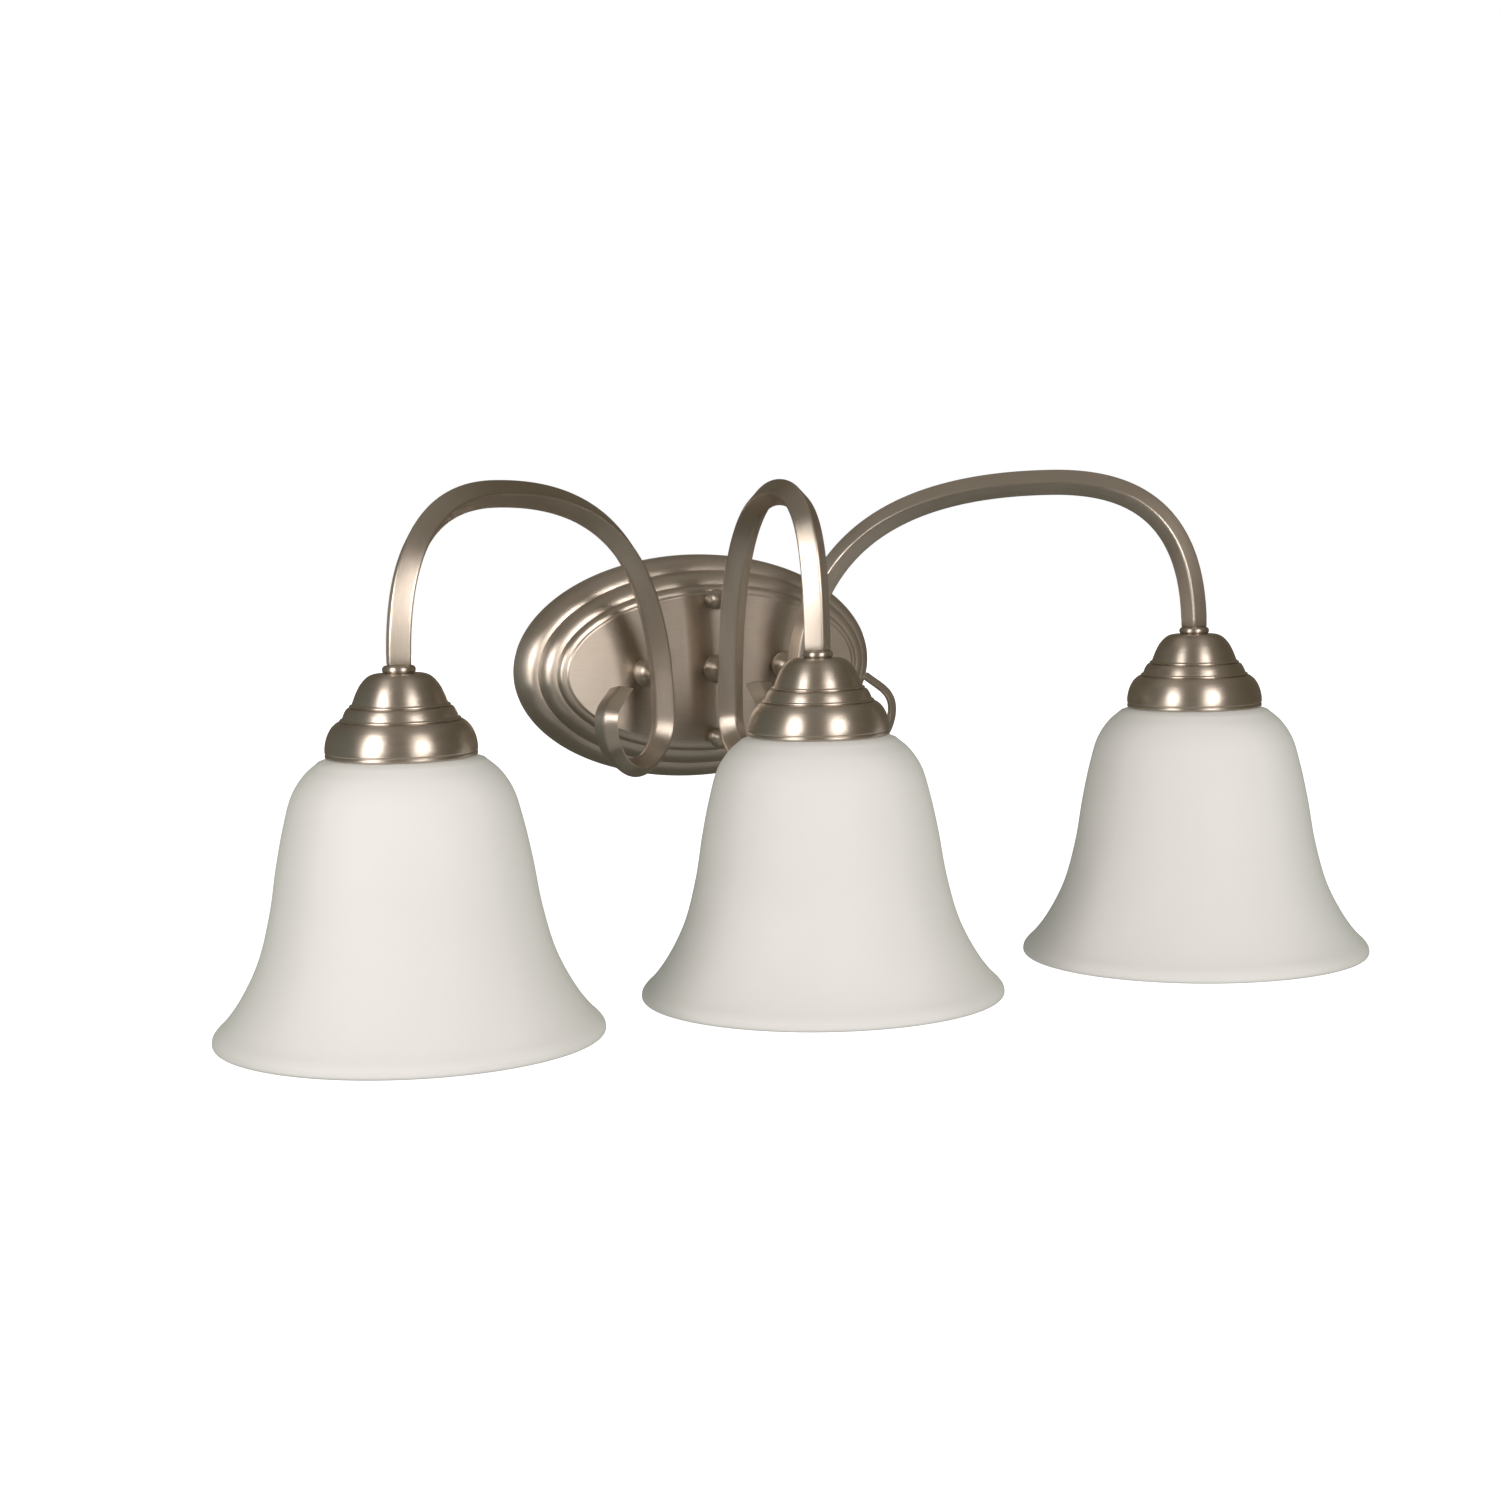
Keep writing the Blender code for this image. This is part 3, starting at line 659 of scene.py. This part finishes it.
def fitter_line():
    shoulder = flow([(8.8, 15.0), (11.1, 14.8), (13.1, 14.05), (15.0, 12.6), (17.2, 9.9), (18.9, 6.7),
                     (20.1, 3.7), (20.75, 2.0)], 5)
    first_bead = [(20.95, 1.8), (21.45, 1.72), (21.8, 1.5), (21.88, 1.2), (21.7, 0.95), (21.4, 0.85),
                  (21.35, 0.7), (21.6, 0.6), (22.1, 0.58)]
    band = flow([(22.65, 0.4), (23.2, -0.1), (24.1, -1.6), (24.9, -3.5), (25.1, -4.0)], 4)
    second_bead = [(25.3, -4.2), (25.75, -4.27), (26.1, -4.5), (26.18, -4.8), (26.0, -5.05),
                   (25.72, -5.15), (25.67, -5.3), (25.95, -5.4), (26.6, -5.42)]
    skirt = flow([(27.25, -5.6), (28.6, -6.6), (30.1, -8.2), (31.4, -10.5), (32.4, -13.3), (32.95, -16.3),
                  (33.0, -18.2)], 5)
    hem = [(32.95, -18.55), (32.7, -18.8), (32.62, -19.0), (32.7, -19.2), (32.92, -19.45), (32.95, -20.0),
           (32.9, -20.5), (32.65, -20.78), (32.3, -20.8), (32.0, -20.6)]
    parts = (shoulder, first_bead, band, second_bead, skirt, hem)
    return [Vector((NIPPLE_HOLE, FITTER_TOP))] + [Vector(point) for part in parts for point in part]


def build_fitter(side):
    inner = flow([(31.85, -20.2), (31.9, -16.8), (31.1, -12.6), (28.9, -8.8), (24.6, -5.4), (22.6, -2.0),
                  (19.7, 0.9), (17.9, 5.6), (15.4, 9.6), (11.9, 13.2), (8.8, 14.0), (NIPPLE_HOLE, 14.0)], 4)
    made = lathe(f"fitter_cup_{side}", fitter_line() + inner, LAMPS[side], NICKEL, 128)
    stands_for(made, f"fitter_{side}")


def shade_line():
    neck = rounded([(NECK_RADIUS, NECK_TOP), (26.2, NECK_TOP), (30.6, -15.6), (31.1, -20.9),
                    (35.2, -22.3)], 2.4, 5)
    bell = flow([(36.2, -22.7), (42.4, -28.2), (47.8, -36.5), (51.8, -50.0), (55.4, -67.0), (59.0, -88.0),
                 (64.8, -109.0), (73.2, -125.6), (79.8, -134.6), (83.6, -138.4), (85.1, -140.6),
                 (85.4, -142.2)], 9)
    return neck[:-1] + bell


def build_shade(side):
    outer = shade_line()
    under = NECK_TOP - SHADE_WALL
    inner = [Vector((NECK_RADIUS, under)), Vector((25.4, under))]
    inner += [p for p in offset(outer, SHADE_WALL) if p.y < -16.9]
    tip, root = outer[-1], inner[-1]
    centre = (tip + root) / 2
    radius = (tip - root).length / 2
    way = math.degrees(math.atan2(tip.y - root.y, tip.x - root.x))
    rim = [centre + heading(way - 180 * i / 10) * radius for i in range(1, 10)]
    made = lathe(f"glass_bell_{side}", outer + rim + inner[::-1], LAMPS[side], OPAL, 160)
    stands_for(made, f"shade_{side}")


def build_shade_ring(side):
    """Clamp ring: grip ribs round its flange, a plain bore inside."""
    top = -16.8
    line = rounded([(24.5, top), (24.6, top - 2.1), (22.6, top - 3.1), (22.5, top - 8.0)], 0.4, 3)
    line += [Vector(p) for p in rungs(19.8, top - 8.0, top, 0.42)]

    def ribs(radius, height, angle):
        if radius > 22.0:
            return radius - 0.45 * (0.5 - 0.5 * math.cos(48 * angle)) ** 2
        return radius
    stands_for(lathe(f"clamp_ring_{side}", line, LAMPS[side], PORCELAIN, 192, shape=ribs, crease=50),
               f"shade_ring_{side}")


def build_lamp_holder(side):
    """Porcelain body with a blind bore for the nipple and a coarse outer thread, and its screw shell."""
    outside = rounded([(0, 5.7), (NIPPLE_HOLE, 5.7), (NIPPLE_HOLE, 9.6), (9.0, 9.6), (9.0, 4.0),
                       (17.0, -1.0), (SOCKET_RADIUS, -5.0), (SOCKET_RADIUS, -10.0), (25.0, -10.0),
                       (25.0, -12.8), (SOCKET_RADIUS, -12.8), (SOCKET_RADIUS, -15.0)], 0.7, 3)
    barrel = rungs(SOCKET_RADIUS, -15.2, -41.0, 0.42)
    mouth = rounded([(SOCKET_RADIUS, -41.3), (18.6, HOLDER_BOTTOM), (14.8, HOLDER_BOTTOM), (14.3, -41.4),
                     (14.3, -8.0), (0, -8.0)], 0.3, 3)
    coarse = thread(-40.5, -16, RING_PITCH, 0.7, 1, True)

    def ridged(radius, height, angle):
        return coarse(radius, height, angle) if radius > SOCKET_RADIUS - 0.1 else radius
    made = lathe(f"holder_{side}", outside + barrel + mouth, LAMPS[side], PORCELAIN, 96, closed=False,
                 shape=ridged, crease=50)
    stands_for(made, f"lamp_holder_{side}")
    rolled = thread(-39.5, -14.0, BULB_PITCH, 0.5, 1, True)
    shell = [Vector((0, -8.3)), Vector((13.2, -8.3)), Vector((14.0, -9.0))] + rungs(14.0, -10, -40.5, 0.45)
    shell += rungs(13.5, -40.5, -10, 0.45) + [Vector((13.3, -9.2)), Vector((0, -8.8))]
    made = lathe(f"socket_shell_{side}", shell, LAMPS[side], ALUMINIUM, 64, closed=False,
                 shape=rolled, crease=60)
    stands_for(made, f"screw_shell_{side}")


def build_bulb(side):
    """Ordinary frosted screw bulb: contact, rolled-thread cap and pear-shaped glass."""
    rolled = thread(-39.0, -21.5, BULB_PITCH, 0.9, 1, True)
    cap = rounded([(0, -14.0), (3.4, -14.1), (4.6, -15.6), (5.0, -17.0), (11.6, -20.2), (12.75, -21.4)],
                  0.6, 3)
    cap += rungs(12.8, -21.6, -39.4, 0.4) + [Vector((12.8, -40.0)), Vector((12.7, -41.9)), Vector((0, -42.0))]
    made = lathe(f"bulb_base_{side}", cap, LAMPS[side], ALUMINIUM, 64, closed=False,
                 shape=lambda r, z, a: rolled(r, z, a) if r > 12.75 else r, crease=60)
    stands_for(made, f"bulb_cap_{side}")
    neck = flow([(12.3, -42.3), (12.9, -47.0), (14.4, -54.3), (17.0, -61.5), (20.4, -69.0), (24.2, -76.6),
                 (26.7, -82.4)], 6)
    globe = arc((0, -95.0), (29.5, 29.5), 24, -90, 24)
    glass = [Vector((0, -42.3))] + neck + globe[:-1] + [Vector((0, -124.5))]
    made = lathe(f"bulb_pear_{side}", glass, LAMPS[side], FROSTED, 72, closed=False)
    stands_for(made, f"bulb_glass_{side}")


# ---------------------------------------------------------------- fixings

def hexagon(apothem, low, high):
    """A six-sided outline with its corners turned off at both faces."""
    def bend(radius, height, angle):
        if radius < apothem * 0.9:
            return radius
        flat = apothem / math.cos((angle + math.pi / 6) % (math.pi / 3) - math.pi / 6)
        turned = apothem * 1.03 + 1.7 * min(height - low, high - height)
        return min(flat, turned)
    return bend


def build_nut(name, node, at, low, high, turn=None):
    apothem = 5.6 * math.cos(math.pi / 6)
    levels = [low + (high - low) * s for s in (0.0, 0.12, 0.25, 0.5, 0.75, 0.88, 1.0)]
    line = [Vector((NIPPLE_HOLE, low)), Vector((apothem * 0.86, low))]
    line += [Vector((apothem, z)) for z in levels]
    line += [Vector((apothem * 0.86, high)), Vector((NIPPLE_HOLE, high))]
    made = lathe(name, line, at, ZINC, 96, turn, shape=hexagon(apothem, low, high), crease=24)
    stands_for(made, node)


def build_nipple(name, node, at, low, high, turn=None):
    line = rungs(NIPPLE_RADIUS, high, low, 0.17) + [Vector((NIPPLE_BORE, z)) for z in (low, high)]
    fine = thread(low, high, 1.0, 0.32)

    def ridged(radius, height, angle):
        return fine(radius, height, angle) if radius > NIPPLE_BORE + 0.5 else radius
    made = lathe(name, line, at, ZINC, 32, turn, shape=ridged, crease=70)
    stands_for(made, node)


def pan_head(shank, tip, seat, head, thick, pitch):
    """Profile and thread of a pan-head screw, from the middle of its head to its tip."""
    top = seat + thick
    line = [Vector((0, top))] + flow([(head * 0.45, top), (head * 0.8, top - thick * 0.18),
                                      (head * 0.97, top - thick * 0.5), (head, seat + 0.1)], 4)
    line += [Vector((head * 0.96, seat)), Vector((shank, seat))]
    line += rungs(shank, seat - 0.1, tip + 0.6, pitch / 6) + [Vector((shank * 0.7, tip)), Vector((0, tip))]
    spiral = thread(tip, seat - 0.1, pitch, shank * 0.16)
    return line, lambda r, z, a: spiral(r, z, a) if shank * 0.95 < r < shank * 1.05 else r


def build_screw(name, node, at, look, sizes, pitch, slot):
    line, shape = pan_head(*sizes, pitch)
    made = lathe(name, line, at, look, 40, FORWARD, closed=False, shape=shape, crease=45)
    _, _, seat, head, thick = sizes
    groove = bmesh.new()
    centre = Vector(at) + FORWARD @ Vector((0, 0, seat + thick))
    turn = Matrix.Rotation(math.radians(slot), 4, "Y")
    box = Matrix.Translation(centre * MM) @ turn @ Matrix.Diagonal((head * 2.4 * MM, thick * MM,
                                                                   head * 0.24 * MM, 1))
    bmesh.ops.create_cube(groove, size=1.0, matrix=box)
    mesh = bpy.data.meshes.new("groove")
    groove.to_mesh(mesh)
    groove.free()
    tool = bpy.data.objects.new("groove", mesh)
    bpy.context.scene.collection.objects.link(tool)
    carve(made, tool, crease=45)
    stands_for(made, node)


def build_strap():
    """Stamped steel crossbar with eased ends and edges and its screw holes."""
    wide, tall, thick = 9.5, 52.0, 2.5
    outline = rounded([(wide, tall), (-wide, tall), (-wide, -tall), (wide, -tall)], 3.0, 6, closed=True)
    rings = []
    for level, shrink in ((0.0, 0.35), (0.1, 0.1), (0.35, 0.0), (thick - 0.35, 0.0), (thick - 0.1, 0.1),
                          (thick, 0.35)):
        rings.append([Vector((p.x - math.copysign(min(shrink, abs(p.x)), p.x), -level,
                              p.y - math.copysign(min(shrink, abs(p.y)), p.y))) for p in outline])
    strap = skin("crossbar", rings, ZINC, crease=40)
    spots = [(0, height, 2.6) for height in BOX_SCREWS.values()]
    spots += [(0, height, 2.4) for height in STUDS.values()]
    spots.append((GROUND.x, GROUND.z, 2.1))
    holes = [drill(radius, -3, 6, (x, 0, z)) for x, z, radius in spots]
    carve(strap, *holes, crease=30)
    stands_for(strap, "mounting_strap")


def build_cap_nut(end):
    """Ball nut on a short round foot that holds the plate to the strap's stud."""
    at = (0, 0, STUDS[end])
    base, centre = PLATE_DEPTH + 0.05, PLATE_DEPTH + 6.2
    line = [Vector((2.3, base + 6.0)), Vector((2.3, base)), Vector((3.35, base)), Vector((3.55, base + 0.25)),
            Vector((3.35, base + 0.7)), Vector((2.95, base + 1.15))]
    line += arc((0, centre), (5.2, 5.2), -56, 88, 30) + [Vector((0, centre + 5.2))]
    made = lathe(f"cap_ball_{end}", [Vector((0, base + 6.3))] + line, at, NICKEL, 56, FORWARD, closed=False)
    stands_for(made, f"cap_nut_{end}")


def build_stud(end):
    low, high = 0.3, PLATE_DEPTH + 5.0
    line = [Vector((0, high)), Vector((1.7, high))] + rungs(2.0, high - 0.3, low + 0.3, 0.13)
    line += [Vector((1.7, low)), Vector((0, low))]
    made = lathe(f"stud_{end}", line, (0, 0, STUDS[end]), ZINC, 28, FORWARD, closed=False, crease=70,
                 shape=thread(low, high, 0.79, 0.24))
    stands_for(made, f"plate_stud_{end}")


# ---------------------------------------------------------------- leads

WIRE_RADIUS, WIRE_OFFSET = 0.56, 0.58   # one wire, and its middle from the middle of the pair
HALF_TWIST = 14.0               # length over which the two wires change places


def tube(path, radius, sides=8):
    """Rings round a path, kept from twisting."""
    rings, side = [], None
    for i, point in enumerate(path):
        along = (path[min(i + 1, len(path) - 1)] - path[max(i - 1, 0)]).normalized()
        if side is None:
            side = along.orthogonal().normalized()
        side = (side - along * side.dot(along)).normalized()
        other = along.cross(side)
        rings.append([point + (side * math.cos(a) + other * math.sin(a)) * radius
                      for a in (2 * math.pi * j / sides for j in range(sides))])
    return rings


def build_leads(side):
    """A twisted pair from behind the plate, through the spacer and the arm, to the lamp holder."""
    root, lamp = ROOTS[side], LAMPS[side]
    frames, _ = arm_frames(side)
    start = next(i for i, f in enumerate(frames) if f[2] > 82 and f[0].z > 9)
    inside = [f[0] for f in frames[start:-1]]
    path = flow([(root.x, -12.0, 0), (root.x, -20, 0), (root.x, -30, 0), (root.x, -40, 0),
                 (root.x, -45.6, 0.1), (root.x, -48.3, 1.2), tuple(root.lerp(inside[0], 0.55))], 5)[:-1]
    path += inside[::3] + [lamp + Vector((0, 0, FOOT_HEIGHT)), lamp + Vector((0, 0, 13.0)),
                           lamp + Vector((0, 0, 8.6))]
    points, faces, which = [], [], []
    for number, sign in ((0, 1), (1, -1)):
        wire, run, across = [], 0.0, Vector((1, 0, 0))
        for i, point in enumerate(path):
            along = (path[min(i + 1, len(path) - 1)] - path[max(i - 1, 0)]).normalized()
            across = (across - along * across.dot(along)).normalized()
            run += (point - path[i - 1]).length if i else 0.0
            angle = run / HALF_TWIST * math.pi
            way = across * math.cos(angle) + along.cross(across) * math.sin(angle)
            wire.append(point + way * WIRE_OFFSET * sign)
        rings = tube(wire, WIRE_RADIUS)
        first = len(points)
        points += [p for ring in rings for p in ring]
        sides = len(rings[0])
        for row in range(len(rings) - 1):
            for j in range(sides):
                k = (j + 1) % sides
                a, b = first + row * sides, first + (row + 1) * sides
                faces.append((a + j, a + k, b + k, b + j))
                which.append(number)
        faces += [tuple(first + j for j in range(sides))[::-1],
                  tuple(first + (len(rings) - 1) * sides + j for j in range(sides))]
        which += [2, 2]
    made = piece(f"wire_pair_{side}", points, faces, (BLACK, WHITE, COPPER), which=which, crease=60)
    stands_for(made, f"lead_{side}")


build_backplate()
build_strap()
for end in ("upper", "lower"):
    build_cap_nut(end)
    build_stud(end)
    build_screw(f"box_fixing_{end}", f"box_screw_{end}", (0, 0, BOX_SCREWS[end]), ZINC,
                (2.1, -12.0, 2.8, 3.9, 2.2), 0.9, 35 if end == "upper" else -20)
build_screw("earth_screw", "ground_screw", (GROUND.x, 0, GROUND.z), GREEN, (1.6, 0.3, 2.8, 3.2, 1.8), 0.7, 60)
for side in SIDES:
    build_arm(side)
    build_spacer(side)
    build_collar(side)
    build_fitter(side)
    build_shade(side)
    build_shade_ring(side)
    build_lamp_holder(side)
    build_bulb(side)
    build_leads(side)
    build_nut(f"foot_hex_{side}", f"foot_nut_{side}", LAMPS[side], 10.3, 13.5)
    build_nut(f"lock_hex_{side}", f"lock_nut_{side}", (ROOTS[side].x, 0, 0), PLATE_DEPTH - 4.5,
              PLATE_DEPTH - 1.5, FORWARD)
    build_nipple(f"foot_tube_{side}", f"foot_nipple_{side}", LAMPS[side], 6.0, 23.0)
    build_nipple(f"spacer_tube_{side}", f"spacer_nipple_{side}", (ROOTS[side].x, 0, 0), 21.0, 46.2, FORWARD)


# ---------------------------------------------------------------- floor, light, camera

scene = bpy.context.scene
scene.view_settings.view_transform = "Standard"

world = bpy.data.worlds.new("studio")
scene.world = world
world.use_nodes = True
tree = world.node_tree
ray = tree.nodes.new("ShaderNodeLightPath")


def glow(colour):
    """What a ray sees of the surroundings, from a colour that other nodes work out."""
    made = tree.nodes.new("ShaderNodeBackground")
    tree.links.new(colour, made.inputs["Color"])
    return made.outputs[0]


def either(switch, off, on):
    """on for the rays that the switch names, and off for the rest."""
    made = tree.nodes.new("ShaderNodeMixShader")
    tree.links.new(ray.outputs[switch], made.inputs[0])
    tree.links.new(off, made.inputs[1])
    tree.links.new(on, made.inputs[2])
    return made.outputs[0]


def toward(way, low, high):
    """0 to 1 as a ray turns from a cosine of low to a cosine of high with a direction."""
    cosine = tree.nodes.new("ShaderNodeVectorMath")
    cosine.operation = "DOT_PRODUCT"
    tree.links.new(directions, cosine.inputs[0])
    cosine.inputs[1].default_value = Vector(way).normalized()
    return spread(tree, cosine.outputs["Value"], low, high, 0, 1)


directions = tree.nodes.new("ShaderNodeTexCoord").outputs["Generated"]
studio = blend(tree, toward((-0.35, -0.92, 0.12), -0.1, 1.0), (0.150, 0.130, 0.095),
               (0.27, 0.245, 0.205))                # what the metal mirrors: dark, paler in front
studio = blend(tree, toward((-1.0, 0.25, -0.1), 0.35, 0.95), studio, (0.205, 0.215, 0.190))
studio = blend(tree, toward((0, 0, -1), 0.10, 0.75), studio, (0.125, 0.120, 0.097))
studio = blend(tree, toward((0, 0, 1), 0.60, 0.95), studio, (0.30, 0.275, 0.235))
around = blend(tree, toward((0, 0, 1), -0.2, 0.9), (0.58, 0.588, 0.568),
               (0.36, 0.365, 0.350))                # what lights the glass from all round
backdrop = tree.nodes.new("ShaderNodeBackground")
backdrop.inputs["Color"].default_value = (1, 1, 1, 1)
lit = either("Is Glossy Ray", glow(around), glow(studio))
tree.links.new(either("Is Camera Ray", lit, backdrop.outputs[0]),
               tree.nodes["World Output"].inputs["Surface"])

FLOOR_HALF, FLOOR_TOP = 9000, -600
floor_look, floor_tree, floor_shader = new_finish("pale_floor", (0.92, 0.92, 0.91), 0.9)
speckle = noise(floor_tree, 3.0, 2.0)
floor_tree.links.new(blend(floor_tree, speckle, (0.91, 0.91, 0.90), (0.93, 0.93, 0.92)),
                     floor_shader.inputs["Base Color"])
floor_shader.inputs["Emission Color"].default_value = (1, 1, 1, 1)
floor_shader.inputs["Emission Strength"].default_value = 1.0
corners = ((-FLOOR_HALF, -FLOOR_HALF), (FLOOR_HALF, -FLOOR_HALF), (FLOOR_HALF, FLOOR_HALF),
           (-FLOOR_HALF, FLOOR_HALF))
floor = skin("floor", [[(x, y, z) for x, y in corners] for z in (FLOOR_TOP - 20, FLOOR_TOP)], floor_look)
floor.visible_glossy = False
floor.visible_diffuse = False


def softbox(name, place, towards, size, power, colour, on_glass=True):
    """A soft area light. One that is not on the glass shows only as a glint on the metal."""
    lamp = bpy.data.lights.new(name, "AREA")
    lamp.shape = "RECTANGLE"
    lamp.size, lamp.size_y = size
    lamp.energy = power
    lamp.color = colour
    made = bpy.data.objects.new(name, lamp)
    made.location = Vector(place)
    made.rotation_euler = (Vector(towards) - Vector(place)).to_track_quat("-Z", "Y").to_euler()
    made.visible_diffuse = on_glass
    scene.collection.objects.link(made)


CENTRE = (0.0, -0.12, 0.0)
FLASH = (1.0, 0.95, 0.92)
softbox("softbox_left", (-0.824, -0.568, 0.26), CENTRE, (0.30, 0.34), 2.2, FLASH)
softbox("softbox_right", (0.212, -1.40, 0.40), CENTRE, (0.42, 0.46), 5.4, FLASH)
softbox("strip_left", (-0.93, -0.50, 0.25), (0.0, -0.12, 0.25), (0.36, 1.00), 4.0, FLASH,
        on_glass=False)
softbox("strip_right", (0.02, -1.45, 0.33), (0.0, -0.12, 0.33), (0.42, 1.35), 3.6, FLASH,
        on_glass=False)


AZIMUTH, PITCH, ROLL = math.radians(24.15), math.radians(6.0), math.radians(-1.08)
DISTANCE = 1.24835
TARGET = Vector((-0.01454, -0.10365, -0.03441))
look_way = Vector((math.sin(AZIMUTH) * math.cos(PITCH), math.cos(AZIMUTH) * math.cos(PITCH),
                   -math.sin(PITCH)))
right = Vector((math.cos(AZIMUTH), -math.sin(AZIMUTH), 0))
up = right.cross(look_way)
right, up = (math.cos(ROLL) * right + math.sin(ROLL) * up, math.cos(ROLL) * up - math.sin(ROLL) * right)
camera = bpy.data.objects.new("camera", bpy.data.cameras.new("camera"))
camera.data.sensor_width = 36.0
camera.data.lens = 62.26
camera.data.clip_end = 30.0
camera.matrix_world = Matrix.Translation(TARGET - look_way * DISTANCE) @ Matrix(
    (right, up, -look_way)).transposed().to_4x4()
scene.collection.objects.link(camera)
scene.camera = camera
